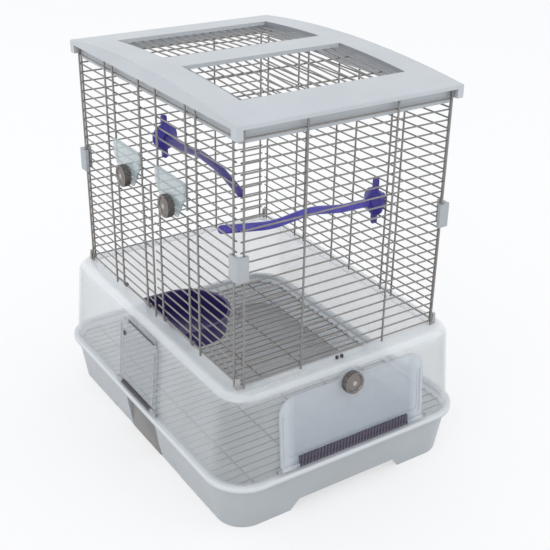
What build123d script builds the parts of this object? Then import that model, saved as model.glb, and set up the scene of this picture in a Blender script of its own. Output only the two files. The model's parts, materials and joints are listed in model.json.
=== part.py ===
from build123d import *
import math
import os

# A small bird cage: a welded wire cage with two front doors, a clear guard
# that keeps the litter in, a moulded tray under it and a moulded roof with
# two wired windows. Millimetres, +Z up, origin on the floor under the centre
# of the cage. X runs along the front, the front faces -Y, and the end with
# the wide access door faces +X.

# Wire cage
cage_half_x = 203.0        # centre of the uprights in the two ends
cage_half_y = 147.0        # centre of the uprights in the front and back
upright_d = 2.6
row_d = 2.0
row_pitch = 12.7
row_count = 25
first_row_up = 5.0         # first row above the guard's top plate
upright_len = 311.0
end_upright_in_x = 9.4     # last upright of the front and back, in from the corner
end_upright_in_y = 7.0     # last upright of the ends, in from the corner
side_upright_y = 61.0      # inner uprights of the ends
row_overhang = 2.6         # rows run this far past their last upright

# Front doors, one each side of a central upright
jamb_x = 115.0
door_upright_out = 92.0
door_upright_in = 21.5
door_row_count = 13        # the wire along the doors' foot is row 0
door_side_gap = 1.7
eye_r = 3.0
eye_len = 8.0

# Door latches
plate_width = 72.0
plate_top_up = 45.0        # above the doors' top row
plate_square_h = 19.0      # straight part of the plate's sides
plate_foot_width = 32.0
plate_foot_down = 4.0      # below the doors' top row
plate_t = 3.0
wire_gap = 0.3             # between the plate and the fixed uprights
knob_r = 14.0
knob_h = 9.0
spindle_r = 3.0
spindle_up = 6.3           # spindle above the doors' top row
boss_half = 12.0
tongue_len = 24.0
tongue_w = 6.0
tongue_t = 2.0
tongue_gap = 0.5
end_tongue_len = 20.0
end_tongue_gap = 1.6
tongue_clear = 1.6         # between the tongue and the top of its opening
knob_gap = 0.3

# Tray. Outs are measured outwards from the uprights' centre planes.
tray_h = 70.0
corner_core = 14.0         # all base corners share centres this far inside the wire
tray_foot_out = 21.5
tray_rim_out = 37.5
tray_rim_t = 8.0
tray_wall = 3.0
tray_floor_z = 16.0
tray_floor_t = 3.0
grille_ledge_down = 14.0   # below the tray's rim
ledge_out = 24.0
sill_out = 27.5            # inner face of the tray's upper wall
arch_h = 15.0
arch_slope = 12.0
front_arch_half = 85.0
end_arch_half = 74.0
recess_half = 42.0
recess_top_down = 17.0     # below the tray's rim
recess_deep = 10.0

# Clear guard
guard_h = 116.0
guard_wall = 2.5
guard_foot_out = 31.0
guard_draft_deg = 4.66
shoulder_r = 16.0
plate_in = 6.0             # top plate reaches this far inside the uprights

# Access doors in the guard
access_t = 3.0
access_gap = 0.4
access_low_up = 7.0        # above the tray's rim
access_top_down = 15.0     # below the guard's top plate
front_access_width = 104.0
end_access_width = 216.0
access_border = 9.0
access_sunk = 1.0
front_corner_r = 9.0
end_corner_r = 22.0
access_rib_h = 2.2
access_overlap = 4.0       # the door laps the guard's opening by this much
hinge_rod_r = 1.8
knuckle_r = 3.0
running_gap = 0.05
sleeve_r = 3.2
knuckle_len = 12.0
end_knuckle_len = 25.0
ear_t = 5.0
ear_gap = 0.5
end_flap_h = 12.0          # dark flap above the wide door's sleeve
end_flap_t = 1.6
end_knob_down = 6.0        # below the doors' top edge
end_knob_y_off = -6.0
grip_width = 76.0
grip_h = 4.4
grip_rim = 5.0
grip_up = 1.5              # above the doors' top edge
grip_x = 6.0

# Roof
roof_out_x = 5.0
roof_out_y = 5.0
roof_edge_t = 3.0
roof_rise = 12.7           # of the arched top, from the ends to the middle
roof_edge_r = 1.6
roof_shell = 2.5
eave_lip = 2.0
eave_lip_t = 2.4
window_in_x = 22.0
window_out_x = 150.0
window_half_y = 112.0
window_rim_t = 2.0
window_rim_h = 5.0         # down from the arched top
roof_rim_in = 5.5          # inner skirt, in from the uprights
skirt_t = 2.0
skirt_h = 13.0
block_clear = 1.0
corner_block_h = 13.0
roof_wire_d = 2.0
roof_cross_count = 2

# Floor grille
floor_wire_d = 2.0
floor_cross_count = 5
floor_edge_gap = 1.0

# Corner clips and posts
clip_h = 30.0
clip_z = 323.0
clip_leg_x = 14.0
clip_leg_y = 12.0
clip_t = 4.6
clip_gap = 0.15
post_size = 5.5
post_h = 14.0

# Seed cup
cup_width = 114.0
cup_depth = 95.0
cup_h = 29.0
cup_wall = 2.0
cup_taper_deg = 7.0
cup_rim_drop = 2.0         # rim below the guard's top plate
cup_edge_gap = 1.5
cup_lip_out = 2.0
hook_x = 35.0
hook_w = 10.0
hook_t = 1.7
cup_rest_gap = 0.3
cup_lift = 80.0

# Perches
perch_r = 5.5
perch_mount_r = 19.0
perch_mount_h = 14.0
perch_neck_r = 7.5
fin_h = 64.0
fin_w = 8.0
fin_t = 5.0
perch_spindle_r = 4.2
nut_r = 13.0
nut_t = 6.0
upper_perch_y = -26.0
upper_perch_row_count = 12   # rows from the first to the mount, half a pitch below it
upper_perch_bends = [(42.0, -1.0), (92.0, 6.0), (145.0, 1.0), (196.0, -15.0)]  # along, up
upper_perch_radii = [120.0, 100.0, 130.0]
lower_perch_x = 76.0
lower_perch_row_count = 9
lower_perch_bends = [(45.0, 1.0), (92.0, 9.0), (150.0, 2.0), (222.0, 13.0)]
lower_perch_radii = [120.0, 110.0, 130.0]

# Levels and places that follow from the sizes above
plate_top_z = tray_h + guard_h
grille_ledge_z = tray_h - grille_ledge_down
recess_top_z = tray_h - recess_top_down
access_low_z = tray_h + access_low_up
access_high_z = plate_top_z - access_top_down
end_knob_z = access_high_z - end_knob_down
roof_half_x = cage_half_x + roof_out_x
roof_half_y = cage_half_y + roof_out_y
first_row_z = plate_top_z + first_row_up
seat_z = plate_top_z + upright_len
row_in = (upright_d + row_d) / 2
front_row_y = cage_half_y - row_in
end_row_x = cage_half_x - row_in
front_end_x = cage_half_x - end_upright_in_x
side_end_y = cage_half_y - end_upright_in_y
upright_face_y = cage_half_y + upright_d / 2
row_outer_y = front_row_y + row_d / 2
row_inner_y = front_row_y - row_d / 2
row_inner_x = end_row_x - row_d / 2
door_mid_x = (door_upright_out + door_upright_in) / 2
door_inner_x = upright_d / 2 + door_side_gap
door_outer_x = jamb_x - upright_d / 2 - door_side_gap
sill_y = cage_half_y - upright_d
draft = math.tan(math.radians(guard_draft_deg))
tray_top_out = guard_foot_out


def row_z(index):
    return first_row_z + index * row_pitch


def wire(start, end, size, facing, sides=6):
    """A straight wire as a prism, with flats that face the given direction."""
    run = Vector(*end) - Vector(*start)
    across = Vector(facing).cross(run.normalized())
    plane = Plane(origin=start, x_dir=across, z_dir=run)
    turn = 180.0 / sides if sides % 4 == 0 else 0.0
    section = RegularPolygon(size / 2, sides, major_radius=False, rotation=turn)
    return extrude(plane * section, amount=run.length)


def upright(x, y, low, high):
    return wire((x, y, low), (x, y, high), upright_d, (0, 1, 0), 8)


def front_row(x_from, x_to, y, z):
    return wire((x_from, y, z), (x_to, y, z), row_d, (0, 1, 0))


def end_row(x, y_from, y_to, z):
    return wire((x, y_from, z), (x, y_to, z), row_d, (1, 0, 0))


def rows(first, count, sample):
    """Copies of the wire at row 0, for the rows from first upwards."""
    return [Pos(0, 0, (first + k) * row_pitch) * sample for k in range(count)]


def mirror_x(shape):
    return mirror(shape, about=Plane.YZ)


def both_ways(values):
    return [sign * value for value in values for sign in (-1, 1)]


def base_block(low_out, high_out, low, high):
    """A block round the cage's plan, drafted from one out to the other."""
    half_x = cage_half_x + low_out
    half_y = cage_half_y + low_out
    plan = RectangleRounded(2 * half_x, 2 * half_y, low_out + corner_core)
    lean = math.degrees(math.atan((low_out - high_out) / (high - low)))
    return extrude(Pos(0, 0, low) * plan, amount=high - low, taper=lean)


def box_between(low, high):
    size = [b - a for a, b in zip(low, high)]
    middle = [(a + b) / 2 for a, b in zip(low, high)]
    return Pos(*middle) * Box(*size)


def cylinder_along(start, end, radius):
    run = Vector(*end) - Vector(*start)
    plane = Plane(origin=start, z_dir=run)
    return extrude(plane * Circle(radius), amount=run.length)


# Wire panels
def front_side_strip():
    """Wires between the corner and the door jamb, on the +X side."""
    sample = front_row(jamb_x - row_overhang, front_end_x + row_overhang, -front_row_y, first_row_z)
    posts = [upright(x, -cage_half_y, plate_top_z, seat_z) for x in (jamb_x, front_end_x)]
    return rows(0, door_row_count + 1, sample) + posts


def front_top_panel():
    """Wires above the doors, right across the front."""
    reach = front_end_x + row_overhang
    first = door_row_count + 1
    sample = front_row(-reach, reach, -front_row_y, first_row_z)
    low = row_z(first) - row_d
    stubs = [
        upright(x, -cage_half_y, low, seat_z)
        for x in both_ways((door_upright_out, door_upright_in))
    ]
    return rows(first, row_count - first, sample) + stubs


def back_panel():
    reach = front_end_x + row_overhang
    sample = front_row(-reach, reach, front_row_y, first_row_z)
    places = both_ways((front_end_x, jamb_x, door_upright_out, door_upright_in))
    posts = [upright(x, cage_half_y, plate_top_z, seat_z) for x in places]
    return rows(0, row_count, sample) + posts


def end_panel(side):
    reach = side_end_y + row_overhang
    sample = end_row(side * end_row_x, -reach, reach, first_row_z)
    places = both_ways((side_end_y, side_upright_y))
    posts = [upright(side * cage_half_x, y, plate_top_z, seat_z) for y in places]
    return rows(0, row_count, sample) + posts


def sill_wire():
    """The round wire along the foot of the doors, which their eyes turn on."""
    reach = jamb_x - row_overhang
    return cylinder_along((-reach, -sill_y, first_row_z), (reach, -sill_y, first_row_z), upright_d / 2)


def door_wires():
    """The right-hand door: rows, two uprights and the eyes at their feet."""
    sample = front_row(door_inner_x, door_outer_x, -front_row_y, first_row_z)
    wires = rows(1, door_row_count, sample)
    high = row_z(door_row_count) + row_d
    for x in (door_upright_in, door_upright_out):
        ends = [(x + side * eye_len / 2, -sill_y, first_row_z) for side in (-1, 1)]
        post = upright(x, -cage_half_y, first_row_z, high) + cylinder_along(*ends, eye_r)
        wires.append(post - cylinder_along(*ends, upright_d / 2 + running_gap))
    return wires


# Latches of the front doors
plate_back_y = upright_face_y + wire_gap
plate_face_y = plate_back_y + plate_t
spindle_z = row_z(door_row_count) + spindle_up


def latch_plate():
    """Clear plate on the right-hand door, slanted in towards the knob."""
    top = row_z(door_row_count) + plate_top_up
    foot = row_z(door_row_count) - plate_foot_down
    half_top = plate_width / 2
    half_foot = plate_foot_width / 2
    outline = Polyline(
        (-half_foot, foot),
        (half_foot, foot),
        (half_top, top - plate_square_h),
        (half_top, top),
        (-half_top, top),
        (-half_top, top - plate_square_h),
        close=True,
    )
    face = fillet(make_face(outline).vertices(), 3.0)
    plane = Plane(origin=(door_mid_x, -plate_back_y, 0), x_dir=(1, 0, 0), z_dir=(0, -1, 0))
    plate = extrude(plane * face, amount=plate_t)
    plate = chamfer(plate.faces().sort_by(Axis.Y)[0].edges(), 0.8)
    low = row_z(door_row_count) - plate_foot_down / 2
    high = spindle_z + spindle_r + wire_gap
    boss = box_between(
        (door_mid_x - boss_half, -plate_back_y, low),
        (door_mid_x + boss_half, -row_outer_y, high),
    )
    bore = cylinder_along(
        (door_mid_x, -plate_face_y, spindle_z),
        (door_mid_x, -row_outer_y, spindle_z),
        spindle_r + running_gap,
    )
    return plate + boss - bore


def knob(spindle_len):
    """Turned knob on its spindle, with the plate's face at zero height."""
    edge = 1.5
    dish_r = knob_r * 0.6
    profile = Polyline(
        (0, -spindle_len),
        (spindle_r, -spindle_len),
        (spindle_r, knob_gap),
        (knob_r - edge, knob_gap),
        (knob_r, knob_gap + edge),
        (knob_r, knob_h - edge),
        (knob_r - edge, knob_h),
        (dish_r + edge, knob_h),
        (dish_r, knob_h - edge),
        (0, knob_h - edge),
        close=True,
    )
    return revolve(Plane.XZ * make_face(profile), Axis.Z)


def tongue(depth, length):
    """The turning tongue at the spindle's inner end, lying open, unlatched."""
    bar = SlotOverall(length, tongue_w)
    return extrude(Pos(0, 0, -depth - tongue_t) * bar, amount=tongue_t)


front_knob_plane = Plane(
    origin=(door_mid_x, -plate_face_y, spindle_z), x_dir=(1, 0, 0), z_dir=(0, -1, 0)
)
front_tongue_depth = plate_face_y - row_inner_y + tongue_gap


# Tray and floor grille
def arch_cutter(half, reach, turned):
    """A long shallow arch under one pair of sides."""
    outline = Polyline(
        (-half - arch_slope, -1),
        (half + arch_slope, -1),
        (half, arch_h),
        (-half, arch_h),
        close=True,
    )
    plane = Plane.YZ if turned else Plane.XZ
    return extrude(plane * make_face(outline), amount=reach, both=True)


def base_tray():
    wall_top = tray_h - tray_rim_t
    body = base_block(tray_foot_out, tray_top_out, 0, wall_top)
    rim = base_block(tray_rim_out, tray_rim_out, wall_top, tray_h)
    rim = fillet(rim.edges().group_by(Axis.Z)[0] + rim.edges().group_by(Axis.Z)[-1], 2.4)
    under_out = tray_foot_out - tray_wall
    under = base_block(under_out, under_out + 1.5, 0, tray_floor_z)
    floor_top = tray_floor_z + tray_floor_t
    lower = base_block(ledge_out - 3.0, ledge_out, floor_top, grille_ledge_z)
    upper = base_block(sill_out, sill_out, grille_ledge_z, tray_h)
    recess_y = cage_half_y + tray_top_out - recess_deep
    keep = box_between(
        (-recess_half - tray_wall, -cage_half_y - tray_rim_out, tray_floor_z),
        (recess_half + tray_wall, -recess_y + tray_wall, grille_ledge_z),
    )
    recess = box_between(
        (-recess_half, -cage_half_y - tray_rim_out, -1),
        (recess_half, -recess_y, recess_top_z),
    )
    recess = fillet(recess.edges().filter_by(Axis.Y).group_by(Axis.Z)[-1], 8.0)
    reach_x = cage_half_x + tray_rim_out
    reach_y = cage_half_y + tray_rim_out
    tray = body + rim - under - (lower - keep) - upper - recess
    tray -= arch_cutter(front_arch_half, reach_y, False)
    return tray - arch_cutter(end_arch_half, reach_x, True)


def floor_grille():
    """Lift-out wire floor on the tray's ledge: rows across, bars under them."""
    half_x = cage_half_x + sill_out - floor_edge_gap
    half_y = cage_half_y + sill_out - floor_edge_gap
    core_x = cage_half_x - corner_core
    core_y = cage_half_y - corner_core
    bar_z = grille_ledge_z + floor_wire_d / 2
    count = int(2 * half_x / row_pitch)
    corner_r = half_x - core_x
    wires = []
    for k in range(count):
        x = (k - (count - 1) / 2) * row_pitch
        past = max(0.0, abs(x) - core_x)
        reach = core_y + math.sqrt(corner_r**2 - past**2)
        ends = [(x, side * reach, bar_z + floor_wire_d) for side in (-1, 1)]
        wires.append(wire(*ends, floor_wire_d, (0, 0, 1)))
    span = 2 * core_y / (floor_cross_count - 1)
    for k in range(floor_cross_count):
        y = -core_y + k * span
        ends = [(side * half_x, y, bar_z) for side in (-1, 1)]
        wires.append(wire(*ends, floor_wire_d, (0, 0, 1)))
    return wires


# Access doors in the guard, drawn flat: X along the wall, Y up it, Z outwards
access_mid_z = (access_low_z + access_high_z) / 2
access_h = (access_high_z - access_low_z) / math.cos(math.radians(guard_draft_deg))
hinge_y = -access_h / 2
hinge_out = access_gap + knuckle_r


def wall_plane(end):
    """The guard's outer face at the doors' mid height, at the +X end or the front."""
    lean = math.radians(guard_draft_deg)
    out = guard_foot_out - (access_mid_z - tray_h) * draft
    if end:
        normal = (math.cos(lean), 0, math.sin(lean))
        return Plane(origin=(cage_half_x + out, 0, access_mid_z), x_dir=(0, 1, 0), z_dir=normal)
    normal = (0, -math.cos(lean), math.sin(lean))
    return Plane(origin=(0, -cage_half_y - out, access_mid_z), x_dir=(1, 0, 0), z_dir=normal)


def access_panel(width, knuckle, corner):
    """A moulded door: sunk field, raised border and ribs, knuckles at its foot."""
    top = access_h / 2
    outline = Polyline(
        (-width / 2, hinge_y), (width / 2, hinge_y), (width / 2, top), (-width / 2, top), close=True
    )
    face = make_face(outline)
    face = fillet(face.vertices().group_by(Axis.Y)[-1], corner)
    panel = extrude(Pos(0, 0, access_gap) * face, amount=access_t)
    outer = access_gap + access_t
    field = Rectangle(width - 2 * access_border, access_h - 3 * access_border)
    field = fillet(field.vertices().group_by(Axis.Y)[-1], max(corner - access_border, 5.0))
    field = fillet(field.vertices().group_by(Axis.Y)[0], 5.0)
    panel -= extrude(Pos(0, 0, outer - access_sunk) * field, amount=access_sunk)
    for side in (-1, 1):
        rib_len = access_h - access_border - corner
        rib_y = hinge_y + access_border + rib_len / 2
        rib = Pos(side * (width / 2 - access_border / 2), rib_y, outer) * Rectangle(2.4, rib_len)
        panel += extrude(rib, amount=access_rib_h, taper=8)
        start = (side * width / 2, hinge_y, hinge_out)
        end = (side * (width / 2 - knuckle), hinge_y, hinge_out)
        panel += cylinder_along(start, end, knuckle_r)
    middle = width / 2 - knuckle
    slot_high = hinge_y + sleeve_r + 1.0
    panel -= box_between((-middle, hinge_y - sleeve_r - 1, -1), (middle, slot_high, hinge_out + 5))
    bore = cylinder_along(
        (-width / 2, hinge_y, hinge_out), (width / 2, hinge_y, hinge_out), hinge_rod_r + running_gap
    )
    return panel - bore


def hinge_rod(width):
    reach = width / 2 + ear_gap + ear_t
    return cylinder_along((-reach, hinge_y, hinge_out), (reach, hinge_y, hinge_out), hinge_rod_r)


def hinge_sleeve(width, knuckle):
    reach = width / 2 - knuckle
    ends = ((-reach, hinge_y, hinge_out), (reach, hinge_y, hinge_out))
    return cylinder_along(*ends, sleeve_r) - cylinder_along(*ends, hinge_rod_r + running_gap)


def end_hinge_sleeve():
    """The wide door's sleeve, with a flap that lies on the door above it."""
    reach = end_access_width / 2 - end_knuckle_len
    low = (-reach, hinge_y + hinge_rod_r + 0.6, access_face)
    flap = box_between(low, (reach, hinge_y + end_flap_h, access_face + end_flap_t))
    return hinge_sleeve(end_access_width, end_knuckle_len) + flap


def hinge_ears(width):
    ears = []
    for side in (-1, 1):
        start = side * (width / 2 + ear_gap)
        end = side * (width / 2 + ear_gap + ear_t)
        low = (min(start, end), hinge_y - knuckle_r, -guard_wall / 2)
        high = (max(start, end), hinge_y + knuckle_r, hinge_out)
        ear = box_between(low, high)
        ear += cylinder_along((start, hinge_y, hinge_out), (end, hinge_y, hinge_out), knuckle_r)
        ear -= cylinder_along((start, hinge_y, hinge_out), (end, hinge_y, hinge_out), hinge_rod_r)
        ears.append(ear)
    return ears


def access_opening(width, corner):
    """The hole that an access door closes."""
    low = hinge_y + sleeve_r + access_overlap
    high = end_knob_y + tongue_w / 2 + tongue_clear
    side = access_overlap + corner - front_corner_r
    hole = Rectangle(width - 2 * side, high - low)
    hole = fillet(hole.vertices(), front_corner_r - access_overlap)
    return extrude(Pos(0, (low + high) / 2, 0) * hole, amount=4 * guard_wall, both=True)


end_knob_y = (end_knob_z - access_mid_z) / math.cos(math.radians(guard_draft_deg))
end_plane = wall_plane(True)
front_plane = wall_plane(False)
access_face = access_gap + access_t


def end_access_door():
    knob_place = Pos(end_knob_y_off, end_knob_y, 0)
    hole = extrude(knob_place * Circle(spindle_r + running_gap), amount=access_face + 1)
    seat = extrude(knob_place * Pos(0, 0, access_gap) * Circle(knob_r + 2), amount=access_t)
    return access_panel(end_access_width, end_knuckle_len, end_corner_r) + seat - hole


def front_access_door():
    panel = access_panel(front_access_width, knuckle_len, front_corner_r)
    place = Pos(grip_x, access_h / 2 + grip_up, access_gap)
    grip = place * SlotOverall(grip_width, grip_h)
    frame = place * SlotOverall(grip_width + 2 * grip_rim, grip_h + 2 * grip_rim)
    return panel + extrude(frame, amount=access_t) - extrude(grip, amount=access_t)


def debris_guard():
    top_out = guard_foot_out - guard_h * draft
    outer = base_block(guard_foot_out, top_out, tray_h, plate_top_z)
    outer = fillet(outer.faces().sort_by(Axis.Z)[-1].edges(), shoulder_r)
    inner_foot = guard_foot_out - guard_wall
    inner_h = guard_h - guard_wall
    inner = base_block(inner_foot, inner_foot - inner_h * draft, tray_h, tray_h + inner_h)
    inner = fillet(inner.faces().sort_by(Axis.Z)[-1].edges(), shoulder_r - guard_wall)
    mouth = RectangleRounded(2 * (cage_half_x - plate_in), 2 * (cage_half_y - plate_in), 8.0)
    guard = outer - inner - extrude(Pos(0, 0, tray_h) * mouth, amount=guard_h)
    doors = ((end_plane, end_access_width, end_corner_r), (front_plane, front_access_width, front_corner_r))
    for plane, width, corner in doors:
        for ear in hinge_ears(width):
            guard += plane * ear
        guard -= plane * access_opening(width, corner)
    return guard


# Roof
def vault_z(x):
    """Height of the roof's arched top."""
    radius = (roof_half_x**2 + roof_rise**2) / (2 * roof_rise)
    return seat_z + roof_edge_t + roof_rise - radius + math.sqrt(radius**2 - x**2)


def vault(drop, half_x, half_y, low):
    """A block under the arched top, lowered by drop and cut to the given plan."""
    end_z = vault_z(roof_half_x) - drop
    mid_z = vault_z(0) - drop
    bow = ThreePointArc((-roof_half_x, end_z), (0, mid_z), (roof_half_x, end_z))
    walls = Polyline((roof_half_x, end_z), (roof_half_x, low), (-roof_half_x, low), (-roof_half_x, end_z))
    block = extrude(Plane.XZ * make_face(bow + walls), amount=half_y, both=True)
    return block & box_between((-half_x, -half_y, low), (half_x, half_y, mid_z + 1))


def roof_frame():
    skirt_x = cage_half_x - roof_rim_in
    skirt_y = cage_half_y - roof_rim_in
    under_x = skirt_x - skirt_t
    under_y = skirt_y - skirt_t
    skin = vault(0, roof_half_x, roof_half_y, seat_z)
    top_edges = skin.edges().filter_by(Axis.Z, reverse=True).filter_by(lambda e: e.center().Z > seat_z + 1)
    skin = fillet(top_edges, roof_edge_r)
    low = seat_z - skirt_h
    roof = skin - vault(roof_shell, under_x, under_y, low)
    rims = vault(roof_shell / 2, under_x, under_y, low)
    rims -= vault(window_rim_h, under_x + 1, under_y + 1, low - 1)
    for side in (-1, 1):
        near = side * (window_in_x - window_rim_t)
        far = side * (window_out_x + window_rim_t)
        roof += rims & box_between(
            (min(near, far), -window_half_y - window_rim_t, low),
            (max(near, far), window_half_y + window_rim_t, vault_z(0)),
        )
    for side in (-1, 1):
        near = side * window_in_x
        far = side * window_out_x
        roof -= box_between(
            (min(near, far), -window_half_y, low),
            (max(near, far), window_half_y, vault_z(0) + 1),
        )
    skirt = Rectangle(2 * skirt_x, 2 * skirt_y) - Rectangle(2 * under_x, 2 * under_y)
    roof += extrude(Pos(0, 0, seat_z - skirt_h) * skirt, amount=skirt_h)
    lip = Rectangle(2 * roof_half_x, 2 * roof_half_y)
    lip -= Rectangle(2 * (roof_half_x - eave_lip_t), 2 * (roof_half_y - eave_lip_t))
    roof += extrude(Pos(0, 0, seat_z - eave_lip) * lip, amount=eave_lip)
    block_x = front_end_x + row_overhang + block_clear
    block_y = side_end_y + row_overhang + block_clear
    for side_x in (-1, 1):
        for side_y in (-1, 1):
            span_x = sorted((side_x * block_x, side_x * roof_half_x))
            span_y = sorted((side_y * block_y, side_y * roof_half_y))
            roof += box_between(
                (span_x[0], span_y[0], seat_z - corner_block_h),
                (span_x[1], span_y[1], seat_z),
            )
    return roof


def roof_grille():
    """Straight wires under the right-hand window's rims, welded to bars below them."""
    x_from = window_in_x - window_rim_t
    x_to = window_out_x + window_rim_t
    high_z = vault_z(x_from) - window_rim_h
    low_z = vault_z(x_to) - window_rim_h
    lean = math.atan((high_z - low_z) / (x_to - x_from))
    up = Vector(math.sin(lean), 0, math.cos(lean))
    sink = roof_wire_d / 2 / math.cos(lean)
    count = int(2 * window_half_y / row_pitch)
    last_y = (count - 1) / 2 * row_pitch
    wires = []
    for k in range(count):
        y = k * row_pitch - last_y
        ends = ((x_from, y, high_z - sink), (x_to, y, low_z - sink))
        wires.append(wire(*ends, roof_wire_d, up))
    reach = last_y + row_overhang
    for k in range(roof_cross_count):
        along = (k + 0.5) / roof_cross_count
        x = x_from + along * (x_to - x_from)
        z = high_z + along * (low_z - high_z) - sink
        middle = Vector(x, 0, z) - up * roof_wire_d
        ends = [(middle.X, side * reach, middle.Z) for side in (-1, 1)]
        wires.append(wire(*ends, roof_wire_d, up))
    return wires


# Corner clips and posts
def corner_clip():
    """Snap clip over the two uprights of one corner, drawn at the +X, +Y corner."""
    low = clip_z
    face_x = end_row_x + row_d / 2 + clip_gap
    face_y = front_row_y + row_d / 2 + clip_gap
    leg_x = box_between((face_x + clip_t - clip_leg_x - 4, face_y, low), (face_x + clip_t, face_y + clip_t, low + clip_h))
    leg_y = box_between((face_x, face_y + clip_t - clip_leg_y - 3, low), (face_x + clip_t, face_y + clip_t, low + clip_h))
    clip = leg_x + leg_y
    clip = chamfer(clip.edges().filter_by(Axis.Z).sort_by(lambda e: -e.center().X - e.center().Y)[0], 1.5)
    hole_r = upright_d / 2 / math.cos(math.pi / 8) + clip_gap
    for x, y in ((front_end_x, cage_half_y), (cage_half_x, side_end_y)):
        clip -= cylinder_along((x, y, low), (x, y, low + clip_h), hole_r)
    return clip


def corner_post():
    """Locating post between the panels' ends, on the guard's top plate."""
    x = front_end_x + row_overhang + block_clear + post_size / 2
    y = side_end_y + row_overhang + block_clear + post_size / 2
    return extrude(Pos(x, y, plate_top_z) * Rectangle(post_size, post_size), amount=post_h, taper=3)


def at_corners(shape):
    back = [shape, mirror_x(shape)]
    return back + [mirror(s, about=Plane.XZ) for s in back]


# Seed cup
def seed_cup():
    """Rounded cup that hangs by two hooks on the guard's plate, behind the doors."""
    back_y = -(cage_half_y - plate_in - cup_edge_gap)
    rim_z = plate_top_z - cup_rim_drop
    radius = cup_width / 2
    straight = cup_depth - radius
    lean = math.tan(math.radians(cup_taper_deg))

    def plan(inset, z):
        half = radius - inset
        wall_y = back_y + inset
        bend_y = back_y + straight
        sides = Polyline((-half, bend_y), (-half, wall_y), (half, wall_y), (half, bend_y))
        bow = ThreePointArc((half, bend_y), (0, bend_y + half), (-half, bend_y))
        return Pos(0, 0, z) * make_face(sides + bow)

    def bowl(inset, depth):
        return loft([plan(inset + depth * lean, rim_z - depth), plan(inset, rim_z)])

    outer = bowl(cup_lip_out, cup_h)
    lip = extrude(plan(0, rim_z - cup_wall), amount=cup_wall)
    inner = bowl(cup_lip_out + cup_wall, cup_h - cup_wall)
    cup = outer + lip - inner
    hook_low = plate_top_z + cup_rest_gap
    hook_high = hook_low + hook_t
    edge_y = -(cage_half_y - plate_in)
    for side in (-1, 1):
        low_x = side * hook_x - hook_w / 2
        cup += box_between((low_x, back_y, rim_z - cup_wall), (low_x + hook_w, back_y + cup_wall, hook_high))
        cup += box_between((low_x, edge_y - hook_t, hook_low), (low_x + hook_w, back_y + cup_wall, hook_high))
    return cup


# Perches
def perch_mount():
    """Domed mount with a tall fin, drawn with its back on the wires at zero."""
    profile = Polyline(
        (0, 0),
        (perch_mount_r - 3, 0),
        (perch_mount_r, 3),
        (perch_mount_r, 6),
        (perch_neck_r, perch_mount_h),
        (0, perch_mount_h),
        close=True,
    )
    dome = revolve(Plane.XZ * make_face(profile), Axis.Z)
    fin = extrude(SlotOverall(fin_h, fin_w, rotation=90), amount=fin_t)
    depth = row_d + nut_t + 2.0
    spindle = extrude(Pos(0, 0, -depth) * Circle(perch_spindle_r), amount=depth)
    return dome + fin + spindle


def perch_nut():
    """Six-sided nut on the outside of the rows."""
    outline = RegularPolygon(nut_r, 6) - Circle(perch_spindle_r + running_gap)
    return extrude(Pos(0, 0, -row_d - nut_t) * outline, amount=nut_t)


def perch_rod(points, radii):
    """Gently waved rod, from the mount's nose along a path drawn in XZ."""
    path = FilletPolyline(*points, radius=radii)
    section = Plane(origin=path @ 0, z_dir=path % 0) * Circle(perch_r)
    rod = sweep(section, path=path)
    tip = path @ 1
    return rod + Pos(tip.X, tip.Y, tip.Z) * Sphere(perch_r)


def upper_perch_plane():
    z = row_z(upper_perch_row_count) + row_pitch / 2
    return Plane(origin=(-row_inner_x, upper_perch_y, z), x_dir=(0, 1, 0), z_dir=(1, 0, 0))


def lower_perch_plane():
    z = row_z(lower_perch_row_count) + row_pitch / 2
    return Plane(origin=(lower_perch_x, row_inner_y, z), x_dir=(-1, 0, 0), z_dir=(0, -1, 0))


def upper_perch():
    """Runs along the cage from its mount, dipping at the tip."""
    z = row_z(upper_perch_row_count) + row_pitch / 2
    x = -row_inner_x + perch_mount_h
    y = upper_perch_y
    points = [(x, y, z)] + [(x + along, y, z + up) for along, up in upper_perch_bends]
    return perch_rod(points, upper_perch_radii)


def lower_perch():
    """Runs towards the front from the back wall, with an S in it."""
    z = row_z(lower_perch_row_count) + row_pitch / 2
    y = row_inner_y - perch_mount_h
    x = lower_perch_x
    points = [(x, y, z)] + [(x, y - along, z + up) for along, up in lower_perch_bends]
    return perch_rod(points, lower_perch_radii)


def write(name, shapes):
    shapes = shapes if isinstance(shapes, list) else [shapes]
    solids = [solid for shape in shapes for solid in shape.solids()]
    export_step(solids[0] if len(solids) == 1 else Compound(obj=solids), f"parts/{name}.step")


os.makedirs("parts", exist_ok=True)

write("base_tray", base_tray())
write("floor_grille", floor_grille())
write("debris_guard", debris_guard())

write("end_access_door", end_plane * end_access_door())
write("end_door_hinge_rod", end_plane * hinge_rod(end_access_width))
write("end_door_hinge_sleeve", end_plane * end_hinge_sleeve())
write("front_access_door", front_plane * front_access_door())
write("front_access_hinge_rod", front_plane * hinge_rod(front_access_width))
write("front_access_hinge_sleeve", front_plane * hinge_sleeve(front_access_width, knuckle_len))

end_tongue_depth = access_face + guard_wall + end_tongue_gap
end_knob_place = end_plane * Pos(end_knob_y_off, end_knob_y, access_face)
write("end_door_knob", end_knob_place * knob(end_tongue_depth))
write("end_door_tongue", end_knob_place * tongue(end_tongue_depth, end_tongue_len))

right_strip = front_side_strip()
write("front_wires_right", right_strip)
write("front_wires_left", [mirror_x(w) for w in right_strip])
write("front_wires_top", front_top_panel())
write("front_centre_upright", upright(0, -cage_half_y, plate_top_z, row_z(door_row_count + 1)))
write("front_sill_wire", sill_wire())
write("back_wire_panel", back_panel())
write("left_wire_panel", end_panel(-1))
write("right_wire_panel", end_panel(1))

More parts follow.
